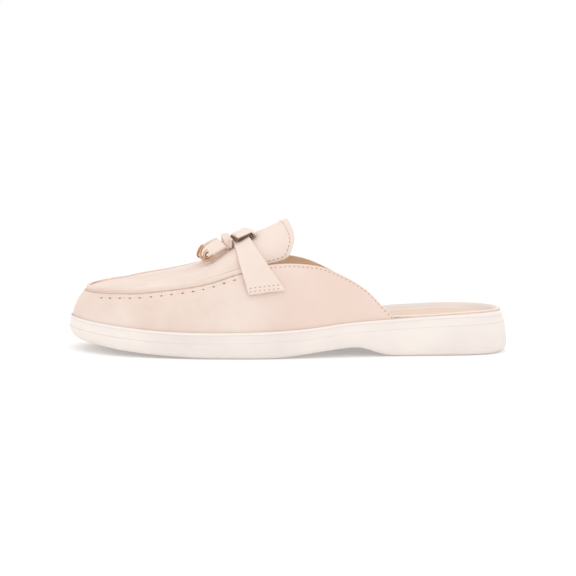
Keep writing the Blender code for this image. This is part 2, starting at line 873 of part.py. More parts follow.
def build_knot():
    """A band wrapped round the straps: rounded sections, fullest in the middle of its length."""
    centre, forward, sideways, up = knot_frame()
    mesh = bmesh.new()
    loops = []
    for row in KNOT:
        middle = centre + forward * (row.share * KNOT_LENGTH)
        loop = []
        for index in range(KNOT_POINTS):
            turn = 2 * pi * index / KNOT_POINTS
            offset = sideways * (0.5 * KNOT_WIDTH * row.fullness * rounded(cos(turn)))
            offset = offset + up * (0.5 * KNOT_HEIGHT * row.fullness * rounded(sin(turn)))
            offset = offset - up * (KNOT_DROOP * cos(turn) ** 2)
            loop.append(mesh.verts.new(middle + offset))
        loops.append(loop)
    for here, after in zip(loops, loops[1:]):
        for index in range(KNOT_POINTS):
            following = (index + 1) % KNOT_POINTS
            mesh.faces.new((here[index], here[following], after[following], after[index]))
    mesh.faces.new(list(reversed(loops[0])))
    mesh.faces.new(loops[-1])
    return finish_mesh("knot", mesh, make_material("knot suede", BLUSH_SUEDE, 0.8), 50)


def build_loop():
    """An arched band over the tops of the straps, from the knot back to the tongue."""
    front = strap_front() + 3 * CLEARANCE / LENGTH
    up = knot_frame()[3]
    over_strap = strap_lift(STRAP[-1].along, 0.0) + STRAP_THICKNESS + SURFACE_GAP
    lower = []
    upper = []
    for index in range(LOOP_ROWS):
        share = index / (LOOP_ROWS - 1)
        along = front + share * LOOP_LENGTH / LENGTH
        landing = smooth_step(LOOP_LANDING_SHARE, 1.0, share)
        rise = LOOP_RISE * (1 - smooth_step(0.0, LOOP_LANDING_SHARE, share))
        lift = over_strap + rise + (SURFACE_GAP - over_strap - rise) * landing
        crown = on_section(along, 0.0)
        half_section = section_half_length(along)
        lower_row = []
        upper_row = []
        for step in range(BAND_COLUMNS):
            across = (step / (BAND_COLUMNS - 1) - 0.5) * LOOP_WIDTH
            base = on_section(along, across / half_section)
            taut = Vector((crown.x, base.y, crown.z + LOOP_FALL_SHARE * (base.z - crown.z)))
            point = taut.lerp(base, landing) + up * lift
            lower_row.append(point)
            upper_row.append(point + up * LOOP_THICKNESS)
        lower.append(lower_row)
        upper.append(upper_row)
    return sheet_solid("loop", upper, lower, make_material("loop suede", BLUSH_SUEDE, 0.8))


def section_half_length(along):
    points = section_curve(along)
    return 0.5 * sum((b - a).length for a, b in zip(points, points[1:]))


def tail_frame(side):
    """Root, length direction, width direction and normal of a tail that leaves the knot's front."""
    centre, forward, sideways, up = knot_frame()
    root = centre + forward * (0.5 * KNOT_LENGTH + 3 * CLEARANCE) - up * TAIL_DROP
    root = root + sideways * (side * TAIL_SPREAD_SHARE * TAIL_WIDTH)
    length = Vector((TAIL_DOWN[0], side * TAIL_DOWN[1], TAIL_DOWN[2])).normalized()
    width = Vector((TAIL_ACROSS[0], side * TAIL_ACROSS[1], TAIL_ACROSS[2]))
    width = (width - length * width.dot(length)).normalized()
    normal = length.cross(width).normalized()
    if normal.z < 0:
        normal = -normal
    return root, length, width, normal


TAIL_SHARES = (0.0, 0.2, 0.4, 0.58, 0.72, 0.84, 0.93, 0.98, 1.0)
TAIL_ROUND_START = 0.66


def tail_half(share):
    if share <= TAIL_ROUND_START:
        return 0.5 * TAIL_WIDTH
    u = (share - TAIL_ROUND_START) / (1 - TAIL_ROUND_START)
    return 0.5 * TAIL_WIDTH * max(1 - u * u, 0.03) ** 0.5


def tail_point(side, share, across, height):
    root, length, width, normal = tail_frame(side)
    bow = TAIL_BOW * sin(pi * share)
    return root + length * (share * TAIL_LENGTH) + width * across + normal * (bow + height)


def build_tail(name, side):
    upper = []
    lower = []
    for share in TAIL_SHARES:
        half = tail_half(share)
        places = [half * (2 * step / (BAND_COLUMNS - 1) - 1) for step in range(BAND_COLUMNS)]
        upper.append([tail_point(side, share, across, 0.5 * TAIL_THICKNESS) for across in places])
        lower.append([tail_point(side, share, across, -0.5 * TAIL_THICKNESS) for across in places])
    return sheet_solid(name, upper, lower, make_material(name + " suede", BLUSH_SUEDE, 0.8))


def build_tip(name, side):
    """The metal rim round the tail's end, as a tube along the end's edge."""
    reach = 0.5 * TIP_DIAMETER + 1.2 * CLEARANCE
    length = tail_frame(side)[1]
    path = []
    for index in range(TIP_STEPS + 1):
        turn = pi * index / TIP_STEPS
        across = -cos(turn) * (0.5 * TAIL_WIDTH + reach)
        past = sin(turn) * ((1 - TAIL_ROUND_START) * TAIL_LENGTH + reach)
        share = TAIL_ROUND_START + past / TAIL_LENGTH
        bow_share = min(share, 1.0)
        point = tail_point(side, bow_share, across, 0.0)
        path.append(point + length * ((share - bow_share) * TAIL_LENGTH))
    curve = bpy.data.curves.new(name + " path", "CURVE")
    curve.dimensions = "3D"
    curve.bevel_depth = 0.5 * TIP_DIAMETER
    curve.bevel_resolution = 2
    curve.use_fill_caps = True
    spline = curve.splines.new("POLY")
    spline.points.add(len(path) - 1)
    for point, place_on_path in zip(spline.points, path):
        point.co = (*place_on_path, 1.0)
    curve.materials.append(make_material(name + " rose gold", ROSE_GOLD, 0.25, 1.0))
    item = bpy.data.objects.new(name, curve)
    shoe_parts.objects.link(item)
    return item


tongue_lift = column(TONGUE, "lift")
tongue_half = column(TONGUE, "half")
tongue_fall = column(TONGUE, "fall")
strap_along = column(STRAP, "along")
strap_around = column(STRAP, "around")
strap_width = column(STRAP, "width")

clear_scene()
shoe_parts = bpy.data.collections.new("loafer mule")
bpy.context.scene.collection.children.link(shoe_parts)
build_outsole()
build_footbed()
build_insole()
build_upper()
build_tongue()
for side_name, side in (("lateral", -1), ("medial", 1)):
    build_strap("strap_" + side_name, side)
    build_tail("tail_" + side_name, side)
    build_tip("tip_" + side_name, side)
build_knot()
build_loop()
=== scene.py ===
"""The loafer mule's finish: camera, light, suede with its seam and stitches, lining and rose gold tips."""

from collections import namedtuple
from math import acos, cos, exp, pi, radians, sin

import bmesh
import bpy
from mathutils import Matrix, Vector
from mathutils.bvhtree import BVHTree
from mathutils.kdtree import KDTree


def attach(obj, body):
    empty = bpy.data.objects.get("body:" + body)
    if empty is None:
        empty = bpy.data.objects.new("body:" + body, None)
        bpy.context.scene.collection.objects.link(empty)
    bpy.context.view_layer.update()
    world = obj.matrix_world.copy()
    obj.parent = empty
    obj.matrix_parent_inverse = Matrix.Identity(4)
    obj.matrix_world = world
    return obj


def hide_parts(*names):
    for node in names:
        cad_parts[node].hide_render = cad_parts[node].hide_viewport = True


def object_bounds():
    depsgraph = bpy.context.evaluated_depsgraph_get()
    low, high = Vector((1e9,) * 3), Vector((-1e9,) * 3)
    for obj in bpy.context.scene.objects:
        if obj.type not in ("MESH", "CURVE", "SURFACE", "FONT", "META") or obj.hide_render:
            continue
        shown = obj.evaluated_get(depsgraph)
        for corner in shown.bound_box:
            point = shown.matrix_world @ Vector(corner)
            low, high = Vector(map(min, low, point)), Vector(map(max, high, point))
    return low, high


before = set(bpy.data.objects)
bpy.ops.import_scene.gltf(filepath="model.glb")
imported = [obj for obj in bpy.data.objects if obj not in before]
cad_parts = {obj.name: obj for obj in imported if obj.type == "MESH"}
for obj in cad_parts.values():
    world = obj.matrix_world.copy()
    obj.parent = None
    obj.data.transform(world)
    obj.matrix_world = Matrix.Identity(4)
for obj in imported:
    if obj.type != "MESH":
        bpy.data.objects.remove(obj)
cad_low, cad_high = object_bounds()

# Camera, as the photograph's angle to the shoe
CAMERA_AZIMUTH = -11.0
CAMERA_ELEVATION = 6.2
CAMERA_ROLL = 1.45
CAMERA_DISTANCE = 1.40
CAMERA_TARGET = Vector((-0.0028, 0.0, 0.0354))
FRAME_PIXELS = 576
PIXELS_PER_METRE = 1735.0
SENSOR_WIDTH = 36.0

# Studio: a soft light above and a little in front, a nearly even sky, a floor that glows as a light table
SOFTBOX_PLACE = Vector((-0.10, -0.35, 1.30))
SOFTBOX_TARGET = Vector((0.0, 0.0, 0.02))
SOFTBOX_SIZE = 0.9
SOFTBOX_POWER = 1.6
SKY_LOW = 1.0
SKY_HIGH = 1.15
FLOOR_SIZE = 60.0
FLOOR_WHITE = 0.80
FLOOR_GLOW = 0.19
FLOOR_ROUGHNESS = 0.95

# Shoe sizes that the added detail follows
SHOE_LENGTH = cad_high[0] - cad_low[0]
BALL_WIDTH = 0.0915
HEEL_HEIGHT = 0.0245
LIP_WIDTH = 0.0014
LIP_HEIGHT = 0.0016
CLEARANCE = 0.0003
COLLAR_RISE = 0.0368
COLLAR_END = 0.708
INSTEP_CROWN = 0.0150
TONGUE_TIP_HEIGHT = 0.0762
TONGUE_REAR = 0.4793
TONGUE_BOW = 0.0030
TONGUE_CORNER = 0.0050
CORNER_SHARE = 0.82
ARC_SHARE = 0.985

# Bend of the upper's wall: its inset and height as shares of the top edge's, and how the toe changes them
BEND_INSET = 0.10
BEND_INSET_TOE = 0.08
BEND_HEIGHT = 0.62
BEND_HEIGHT_TOE = 0.06
BEND_TOE_END = 0.12

# Finer meshes: distance for joining points, angles for joining triangles to quads, firmness of sharp edges
WELD_DISTANCE = 1e-6
QUAD_FACE_ANGLE = 50
QUAD_SHAPE_ANGLE = 70
CREASE_FIRMNESS = 0.85

# Lining and outer face: the line in the foot that the lining looks at, and how squarely a face has to look
FOOT_SHIFT = 0.004
FOOT_HEIGHT = 0.030
LINING_FACING = 0.25
OUTER_FACING = 0.1

# Steps along the upper's paths, their crowding toward the toe, and steps along a trough
PATH_STEPS = 90
TOE_CROWDING = 1.6
TROUGH_STEPS = 24

# Cords and stitches, the same everywhere
CORD_SIDES = 6
STITCH_SPACING = 0.0027
STITCH_LENGTH = 0.0014
STITCH_RADIUS = 0.00024

# Needle holes below the seam, drawn dark as painted shade, the thread through them and the puckers round
# them
HOLE_SPACING = 0.0060
HOLE_RADIUS = 0.00056
HOLE_LENGTH = 2.7 * HOLE_RADIUS
HOLE_WIDTH = 1.7 * HOLE_RADIUS
HOLE_BULGE = 0.3 * HOLE_RADIUS
HOLE_FIRST = 0.030
HOLE_LAST = 0.352
HOLE_DROP_TOE = 0.0058
HOLE_DROP_STRAP = 0.0054
HOLE_DROP_START = 0.10
HOLE_DROP_END = 0.33
THREAD_SINK = 0.86
PUCKER_DEPTH = 0.00042
PUCKER_WIDTH = 0.0013
PUCKER_HEIGHT = 0.0024

# Painted shade lines in the folds along both sides of the seam, each on a wider, softer band of painted
# shade
SEAM_FIRST = 0.012
SEAM_LAST = 0.366
SEAM_STEPS = 80
SEAM_CREASE_DROP = 0.0026
SEAM_INNER_CREASE = 0.0022
CREASE_RADIUS = 0.00075
CREASE_SINK = 0.78
CREASE_SHADE_RADIUS = 0.0017
CREASE_SHADE_SINK = 0.84

# Turned edges of the collar and the tongue: a fine line of painted shade in the fold, and stitches inside it
TURNED_LINE_RADIUS = 0.00022
COLLAR_FIRST = 0.40
COLLAR_LAST = COLLAR_END - 0.004
COLLAR_STEPS = 60
COLLAR_STITCH_DROP = 0.0021
COLLAR_GROOVE_DROP = 0.0012
COLLAR_GROOVE_SINK = 0.85
TONGUE_FOLD_INSET = 0.0029
TONGUE_FOLD_REACH = 0.985
TONGUE_FOLD_SINK = 0.7
TONGUE_STITCH_INSET = TONGUE_FOLD_INSET + 0.0005
TONGUE_STITCH_REACH = TONGUE_FOLD_REACH - 0.004
TONGUE_SIDE_STEPS = 20
TONGUE_REAR_STEPS = 40

# Rows of stitches across the straps' feet
STRAP_ROW_FRONT = 0.369
STRAP_ROW_REAR = 0.442
STRAP_ROW_STEPS = 12
STRAP_ROW_DROP = 0.0123
STRAP_ROW_SLANT = 0.0005
STRAP_ROW_GAP = 0.0022
STRAP_STANDOFF = 0.0045

# Sole: the painted highlight on its lip, the heel's eased top edge and the lines moulded along the side
LIP_HIGHLIGHT_BAND = 0.0015
HEEL_EASE = 0.0013
HEEL_EASE_HEIGHT = 0.0045
HEEL_EASE_START = 0.46
HEEL_EASE_FULL = 0.50
SIDE_LINE_DROP = 0.0056
SIDE_LINE_OUT = 0.0006
SIDE_LINE_RADIUS = 0.00018
SIDE_LINE_SINK = 0.6
OUTLINE_STEPS = 120

# Peach line of painted shade where the wrapped footbed meets the sole
RIM_SEAM_START = 0.69
RIM_SEAM_INSET = 0.0016
RIM_SEAM_RISE = 0.0006
RIM_SEAM_RADIUS = 0.00045
RIM_SEAM_SINK = 0.5

# Knot: folds round it and their slant, its lean, and the hang of its sides with the shares where it sets in
KNOT_FOLDS = 3
KNOT_FOLD_DEPTH = 0.00035
KNOT_FOLD_SLANT = 2.2
KNOT_LEAN = 0.16
KNOT_HANG = 0.0024
KNOT_HANG_DOWN = (-0.2, 1.0)
KNOT_HANG_OUT = (0.1, 0.9)

# Tails: the gold line inside each rim and the dark hook of painted shade inside that, with their ends'
# angles
TRIM_AIM = Vector((0.0, -0.004, 0.003))
TRIM_LIFT = 0.0005
TRIM_SHIFT = 0.0023
TRIM_STEPS = 16
RIM_LINE_RADIUS = 0.00036
RIM_LINE_REACH = 0.0030
RIM_LINE_LEG = 0.0022
RIM_LINE_SINK = 0.2
RIM_LINE_ENDS = (-90, 90)
HOOK_RADIUS = 0.0008
HOOK_REACH = 0.0015
HOOK_SINK = 0.6
HOOK_ENDS = (-150, 60)

# Painted shade under the loop: a dark, lowered, smaller copy of the loop for its shadowed inner fold
LOOP_SHADE_DROP = 0.0012
LOOP_SHADE_SHIFT = -0.0010
LOOP_SHADE_REACH = 0.90
LOOP_SHADE_SHARE = 0.90

# Plan of the sole: half width and centre shift as shares of the ball width
Plan = namedtuple("Plan", "along half shift")
PLAN = (
    Plan(0.00, 0.000, 0.033),
    Plan(0.02, 0.197, 0.033),
    Plan(0.06, 0.317, 0.025),
    Plan(0.12, 0.407, 0.019),
    Plan(0.20, 0.467, 0.010),
    Plan(0.28, 0.495, 0.005),
    Plan(0.36, 0.497, -0.003),
    Plan(0.45, 0.458, -0.022),
    Plan(0.55, 0.397, -0.035),
    Plan(0.65, 0.352, -0.033),
    Plan(0.75, 0.330, -0.022),
    Plan(0.85, 0.330, -0.008),
    Plan(0.92, 0.298, 0.000),
    Plan(0.97, 0.212, 0.000),
    Plan(1.00, 0.000, 0.000),
)

# Top of the sole as a share of the heel height
Side = namedtuple("Side", "along top")
SIDE = (
    Side(0.00, 0.800),
    Side(0.04, 0.745),
    Side(0.11, 0.675),
    Side(0.18, 0.622),
    Side(0.25, 0.606),
    Side(0.29, 0.606),
    Side(0.36, 0.618),
    Side(0.43, 0.640),
    Side(0.495, 0.680),
    Side(0.545, 0.735),
    Side(0.59, 0.795),
    Side(0.625, 0.825),
    Side(0.66, 0.848),
    Side(0.69, 0.865),
    Side(0.71, 0.876),
    Side(0.78, 0.918),
    Side(0.87, 0.965),
    Side(1.00, 1.000),
)

# Top line of the upper: inset as a share of the ball width, rise and the medial side's lift as shares of the
# collar rise, and the height of the shoe's middle above it as a share of the instep's crown
Top = namedtuple("Top", "along inset rise lift crown")
TOP = (
    Top(0.00, 0.112, 0.440, 0.00, 0.00),
    Top(0.04, 0.122, 0.478, 0.02, 0.02),
    Top(0.08, 0.128, 0.515, 0.04, 0.03),
    Top(0.123, 0.131, 0.555, 0.05, 0.05),
    Top(0.16, 0.131, 0.610, 0.06, 0.07),
    Top(0.20, 0.131, 0.660, 0.06, 0.10),
    Top(0.25, 0.130, 0.720, 0.06, 0.15),
    Top(0.29, 0.128, 0.780, 0.05, 0.26),
    Top(0.32, 0.124, 0.850, 0.04, 0.40),
    Top(0.35, 0.119, 0.915, 0.02, 0.58),
    Top(0.38, 0.112, 0.958, 0.00, 0.78),
    Top(0.395, 0.108, 0.972, 0.00, 0.90),
    Top(0.415, 0.104, 0.985, 0.00, 1.08),
    Top(0.445, 0.099, 1.000, 0.00, 1.20),
    Top(0.48, 0.096, 0.992, 0.00, 1.24),
    Top(0.52, 0.092, 0.946, 0.00, 1.24),
    Top(0.545, 0.090, 0.900, 0.00, 1.24),
    Top(0.57, 0.086, 0.816, 0.00, 1.24),
    Top(0.595, 0.082, 0.716, 0.00, 1.24),
    Top(0.62, 0.077, 0.610, 0.00, 1.24),
    Top(0.648, 0.069, 0.470, 0.00, 1.24),
    Top(0.667, 0.060, 0.335, 0.00, 1.24),
    Top(0.683, 0.049, 0.200, 0.00, 1.24),
    Top(0.70, 0.037, 0.075, 0.00, 1.24),
    Top(0.708, 0.029, 0.028, 0.00, 1.24),
)

# Tongue from the strap to its tip: lift above the crown line as a share of the tip's lift, half width as a
# share of the ball width, fall of its edges as a share of the instep's crown
Tongue = namedtuple("Tongue", "along lift half fall")
TONGUE = (
    Tongue(0.390, 0.00, 0.322, 0.93),
    Tongue(0.410, 0.02, 0.298, 1.07),
    Tongue(0.435, 0.09, 0.278, 1.20),
    Tongue(0.460, 0.51, 0.259, 1.28),
    Tongue(0.479, 1.00, 0.245, 1.30),
    Tongue(0.495, 1.13, 0.238, 1.36),
)

# Soft troughs that wear leaves in the vamp and the quarter, on each side: their ends as places along the
# shoe and drops below the top line, their width and their depth
Trough = namedtuple("Trough", "along drop end_along end_drop width depth")
TROUGHS = (
    Trough(0.300, 0.0110, 0.345, 0.0300, 0.0060, 0.00050),
    Trough(0.225, 0.0120, 0.265, 0.0240, 0.0055, 0.00030),
    Trough(0.455, 0.0150, 0.530, 0.0300, 0.0070, 0.00045),
    Trough(0.560, 0.0100, 0.610, 0.0190, 0.0060, 0.00030),
)

# Colours, linear
SUEDE = (0.825, 0.70, 0.625)
# Darker end of the suede's clouds, and the painted shade in the folds and grooves
SUEDE_DEEP = (0.755, 0.605, 0.525)
SUEDE_PINK = (0.79, 0.605, 0.52)
SUEDE_PALE = (0.84, 0.70, 0.62)
LINING_TAN = (0.96, 0.73, 0.53)
SOCK_PEACH = (0.76, 0.59, 0.47)
RUBBER = (0.785, 0.708, 0.665)
# Pale end of the rubber's clouds, and the painted highlight on the sole's lip
RUBBER_LIGHT = (0.86, 0.79, 0.735)
WRAP = (0.875, 0.82, 0.78)
# Painted shade where the footbed meets the sole
RIM_SHADE_PEACH = (0.84, 0.66, 0.56)
THREAD = (0.52, 0.335, 0.265)
# Painted shade inside the needle holes
HOLE_SHADE_DARK = (0.27, 0.145, 0.105)
# Painted shade in the seam's folds
CREASE_SHADE_ROSE = (0.60, 0.42, 0.35)
# Dark painted shade under the loop and in the tails' hooked gaps
SHADE_DARK = (0.24, 0.125, 0.09)
GOLD = (0.66, 0.41, 0.235)

# Suede: scales of its clouds, grain and fibres, its nap, and the stretch over which it turns pinker
SUEDE_CLOUDS = 38.0
SUEDE_GRAIN = 700.0
SUEDE_FIBRES = 2600.0
SUEDE_NAP = 0.00006
QUARTER_FRONT = -0.045
QUARTER_REAR = 0.010
QUARTER_PINK = 0.6

# Rose gold: scales of its clouds and grain, and the grain's depth
GOLD_CLOUDS = 400.0
GOLD_GRAIN = 1500.0
GOLD_DEPTH = 0.00001

# Shader settings
SUEDE_SHADER = {
    "Roughness": 0.88,
    "Specular IOR Level": 0.25,
    "Sheen Weight": 0.25,
    "Sheen Roughness": 0.45,
    "Sheen Tint": (1.0, 0.93, 0.89, 1.0),
}
GOLD_SHADER = {"Metallic": 1.0, "Roughness": 0.22}
FLOOR_SHADER = {
    "Base Color": (FLOOR_WHITE, FLOOR_WHITE, FLOOR_WHITE, 1.0),
    "Roughness": FLOOR_ROUGHNESS,
    "Emission Color": (1.0, 1.0, 1.0, 1.0),
    "Emission Strength": FLOOR_GLOW,
}


def photo_camera():
    azimuth = radians(CAMERA_AZIMUTH)
    elevation = radians(CAMERA_ELEVATION)
    back = Vector((sin(azimuth) * cos(elevation), -cos(azimuth) * cos(elevation), sin(elevation)))
    right = Vector((cos(azimuth), sin(azimuth), 0.0))
    up = back.cross(right)
    turn = Matrix((right, up, back)).transposed() @ Matrix.Rotation(radians(CAMERA_ROLL), 3, "Z")
    data = bpy.data.cameras.new("photo camera")
    data.sensor_width = SENSOR_WIDTH
    data.lens = PIXELS_PER_METRE * CAMERA_DISTANCE / FRAME_PIXELS * SENSOR_WIDTH
    camera = bpy.data.objects.new("photo camera", data)
    camera.matrix_world = Matrix.Translation(CAMERA_TARGET + back * CAMERA_DISTANCE) @ turn.to_4x4()
    bpy.context.scene.collection.objects.link(camera)
    bpy.context.scene.camera = camera


def area_light(name, place, target, size, power):
    data = bpy.data.lights.new(name, "AREA")
    data.shape = "DISK"
    data.size = size
    data.energy = power
    light = bpy.data.objects.new(name, data)
    aim = (target - place).to_track_quat("-Z", "Y")
    light.matrix_world = Matrix.Translation(place) @ aim.to_matrix().to_4x4()
    bpy.context.scene.collection.objects.link(light)


def studio():
    """A white room under a nearly even sky, with one soft light above and a little in front."""
    world = bpy.data.worlds.new("studio white")
    world.use_nodes = True
    nodes = world.node_tree.nodes
    links = world.node_tree.links
    split = nodes.new("ShaderNodeSeparateXYZ")
    links.new(nodes.new("ShaderNodeTexCoord").outputs["Generated"], split.inputs["Vector"])
    sky = blend_colours(nodes, links, split.outputs["Z"], (SKY_LOW,) * 3, (SKY_HIGH,) * 3, 0.0, 1.0)
    links.new(sky, nodes["Background"].inputs["Color"])
    nodes["Background"].inputs["Strength"].default_value = 1.0
    bpy.context.scene.world = world
    bpy.context.scene.view_settings.view_transform = "Standard"
    area_light("overhead softbox", SOFTBOX_PLACE, SOFTBOX_TARGET, SOFTBOX_SIZE, SOFTBOX_POWER)
    bpy.ops.mesh.primitive_plane_add(size=FLOOR_SIZE)
    floor = bpy.context.object
    floor.name = "floor"
    material, _, _, shader = new_material("white floor")
    set_inputs(shader, FLOOR_SHADER)
    floor.data.materials.append(material)


def column(rows, name):
    """A smooth monotone curve through one named column of a table."""
    places = [row[0] for row in rows]
    values = [getattr(row, name) for row in rows]
    spans = [b - a for a, b in zip(places, places[1:])]
    slopes = [(b - a) / span for a, b, span in zip(values, values[1:], spans)]
    tangents = [slopes[0]]
    for before, after, left, right in zip(slopes, slopes[1:], spans, spans[1:]):
        if before * after <= 0:
            tangents.append(0.0)
            continue
        near = 2 * right + left
        far = right + 2 * left
        tangents.append((near + far) / (near / before + far / after))
    tangents.append(slopes[-1])

    def value(place):
        index = 0
        while index < len(spans) - 1 and place > places[index + 1]:
            index += 1
        span = spans[index]
        u = min(max((place - places[index]) / span, 0.0), 1.0)
        ease = u * u * (3 - 2 * u)
        start = values[index] * (1 - ease) + tangents[index] * span * u * (1 - u) * (1 - u)
        return start + values[index + 1] * ease - tangents[index + 1] * span * u * u * (1 - u)

    return value


def plan_angle(along):
    """The angle by which the plan's table is read, so that both of the sole's ends come out round."""
    return acos(1 - 2 * along)


by_angle = [row._replace(along=plan_angle(row.along)) for row in PLAN]
half_width = column(by_angle, "half")
centre_shift = column(by_angle, "shift")
sole_top_share = column(SIDE, "top")
top_inset_share = column(TOP, "inset")
rise_share = column(TOP, "rise")
lift_share = column(TOP, "lift")
crown_share = column(TOP, "crown")
tongue_lift = column(TONGUE, "lift")
tongue_half = column(TONGUE, "half")
tongue_fall = column(TONGUE, "fall")


def smooth_step(low, high, place):
    u = min(max((place - low) / (high - low), 0.0), 1.0)
    return u * u * (3 - 2 * u)


def evenly(first, last, steps):
    return [first + (last - first) * index / steps for index in range(steps + 1)]


def sole_top(along):
    return HEEL_HEIGHT * sole_top_share(along)


def plan_point(side, angle):
    y = BALL_WIDTH * (centre_shift(angle) + side * half_width(angle))
    return Vector((-0.5 * SHOE_LENGTH * cos(angle), y))


def plan_inward(side, angle):
    """The level direction from a side's plan line toward the shoe's middle."""
    step = 0.004
    if angle <= step:
        return Vector((1.0, 0.0))
    tangent = plan_point(side, angle + step) - plan_point(side, angle - step)
    return Vector((side * tangent.y, -side * tangent.x)).normalized()


def inward_shift(side, along, distance):
    return (plan_inward(side, plan_angle(along)) * distance).to_3d()


def wall_point(side, along, down):
    """A point of the upper's outer wall, down below the seam's crest or the collar's edge."""
    angle = plan_angle(along)
    foot = LIP_WIDTH + CLEARANCE
    end = max(BALL_WIDTH * top_inset_share(along), foot)
    lift = 0.5 * (1 + side) * lift_share(along)
    rise = COLLAR_RISE * (rise_share(along) + lift)
    toe = 1 - smooth_step(0.0, BEND_TOE_END, along)
    bend_inset = foot + (end - foot) * (BEND_INSET + BEND_INSET_TOE * toe)
    start = Vector((foot, 0.0))
    bend = Vector((bend_inset, rise * (BEND_HEIGHT - BEND_HEIGHT_TOE * toe)))
    top = Vector((end, rise))
    length = (top - bend).length + (bend - start).length
    u = max(1 - down / length, 0.0)
    spot = start * (1 - u) * (1 - u) + bend * 2 * u * (1 - u) + top * u * u
    flat = plan_point(side, angle) + plan_inward(side, angle) * spot.x
    return Vector((flat.x, flat.y, sole_top(along) + spot.y))


def crown_line(along):
    """Height of the shoe's own form along its middle."""
    height = COLLAR_RISE * rise_share(along) + INSTEP_CROWN * crown_share(along)
    return sole_top(along) + height


def tongue_point(along, v):
    """The tongue's outer surface behind the straps; v runs from -1 at its lateral edge to 1."""
    arch = (1 - (1 - (ARC_SHARE * v) ** 2) ** 0.5) / (1 - (1 - ARC_SHARE ** 2) ** 0.5)
    across = BALL_WIDTH * (centre_shift(plan_angle(along)) + v * tongue_half(along))
    lift = (TONGUE_TIP_HEIGHT - crown_line(TONGUE_REAR)) * tongue_lift(along)
    height = crown_line(along) + lift - INSTEP_CROWN * tongue_fall(along) * arch
    return Vector(((along - 0.5) * SHOE_LENGTH, across, height))


def even_places(path, spacing):
    """Points and directions at even spacing along a list of points."""
    places = []
    left = 0.5 * spacing
    for a, b in zip(path, path[1:]):
        length = (b - a).length
        while left <= length:
            places.append((a.lerp(b, left / length), (b - a).normalized()))
            left += spacing
        left -= length
    return places


def add_piece(name, mesh, materials, replaced=(), smooth_angle=45):
    """Makes a piece from a bmesh, on the shoe's one body."""
    data = bpy.data.meshes.new(name)
    mesh.to_mesh(data)
    mesh.free()
    for material in materials:
        data.materials.append(material)
    data.shade_smooth()
    data.set_sharp_from_angle(angle=radians(smooth_angle))
    piece = bpy.data.objects.new(name, data)
    bpy.context.scene.collection.objects.link(piece)
    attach(piece, "root")
    if replaced:
        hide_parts(*replaced)
    return piece


def refined(node, levels, crease_angle):
    """A finer copy of a CAD node's own mesh: its triangles joined to quads, then subdivided."""
    mesh = bmesh.new()
    mesh.from_mesh(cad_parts[node].data)
    bmesh.ops.remove_doubles(mesh, verts=mesh.verts, dist=WELD_DISTANCE)
    bmesh.ops.join_triangles(
        mesh,
        faces=mesh.faces,
        angle_face_threshold=radians(QUAD_FACE_ANGLE),
        angle_shape_threshold=radians(QUAD_SHAPE_ANGLE),
    )
    creases = mesh.edges.layers.float.new("crease_edge")
    for edge in mesh.edges:
        if len(edge.link_faces) == 2 and edge.calc_face_angle() > radians(crease_angle):
            edge[creases] = CREASE_FIRMNESS
    rough = bpy.data.meshes.new(node + " cage")
    mesh.to_mesh(rough)
    mesh.free()
    cage = bpy.data.objects.new(node + " cage", rough)
    bpy.context.scene.collection.objects.link(cage)
    smoother = cage.modifiers.new("subdivision", "SUBSURF")
    smoother.levels = levels
    smoother.render_levels = levels
    depsgraph = bpy.context.evaluated_depsgraph_get()
    fine = bmesh.new()
    fine.from_object(cage, depsgraph)
    bpy.data.objects.remove(cage, do_unlink=True)
    return fine


def new_material(name):
    material = bpy.data.materials.new(name)
    material.use_nodes = True
    nodes = material.node_tree.nodes
    return material, nodes, material.node_tree.links, nodes["Principled BSDF"]


def set_inputs(node, values):
    for name, value in values.items():
        node.inputs[name].default_value = value


def noise(nodes, links, coordinates, scale, detail=3.0, roughness=0.6):
    texture = nodes.new("ShaderNodeTexNoise")
    set_inputs(texture, {"Scale": scale, "Detail": detail, "Roughness": roughness})
    links.new(coordinates, texture.inputs["Vector"])
    return texture.outputs["Fac"]


def blend_colours(nodes, links, factor, dark, pale, low=0.3, high=0.7):
    ramp = nodes.new("ShaderNodeValToRGB")
    ramp.color_ramp.elements[0].position = low
    ramp.color_ramp.elements[0].color = (*dark, 1.0)
    ramp.color_ramp.elements[1].position = high
    ramp.color_ramp.elements[1].color = (*pale, 1.0)
    links.new(factor, ramp.inputs["Fac"])
    return ramp.outputs["Color"]


def bump(nodes, links, height, distance, strength, normal=None):
    node = nodes.new("ShaderNodeBump")
    set_inputs(node, {"Distance": distance, "Strength": strength})
    links.new(height, node.inputs["Height"])
    if normal is not None:
        links.new(normal, node.inputs["Normal"])
    return node.outputs["Normal"]


def suede_material(name, dark, pale, quarter=None):
    """Short-napped faux suede: soft large clouds, fine fibres, and a sheen at its edges."""
    material, nodes, links, shader = new_material(name)
    place = nodes.new("ShaderNodeTexCoord").outputs["Object"]
    colour = blend_colours(nodes, links, noise(nodes, links, place, SUEDE_CLOUDS), dark, pale)
    if quarter is not None:
        split = nodes.new("ShaderNodeSeparateXYZ")
        links.new(place, split.inputs["Vector"])
        spread = nodes.new("ShaderNodeMapRange")
        set_inputs(spread, {"From Min": QUARTER_FRONT, "From Max": QUARTER_REAR, "To Max": QUARTER_PINK})
        links.new(split.outputs["X"], spread.inputs["Value"])
        mix = nodes.new("ShaderNodeMixRGB")
        mix.inputs["Color2"].default_value = (*quarter, 1.0)
        links.new(spread.outputs["Result"], mix.inputs["Fac"])
        links.new(colour, mix.inputs["Color1"])
        colour = mix.outputs["Color"]
    links.new(colour, shader.inputs["Base Color"])
    grain = noise(nodes, links, place, SUEDE_GRAIN)
    coarse = bump(nodes, links, grain, SUEDE_NAP, strength=0.35)
    fibres = noise(nodes, links, place, SUEDE_FIBRES, detail=4.0, roughness=0.7)
    fine = bump(nodes, links, fibres, 0.5 * SUEDE_NAP, strength=0.5, normal=coarse)
    links.new(fine, shader.inputs["Normal"])
    set_inputs(shader, SUEDE_SHADER)
    return material


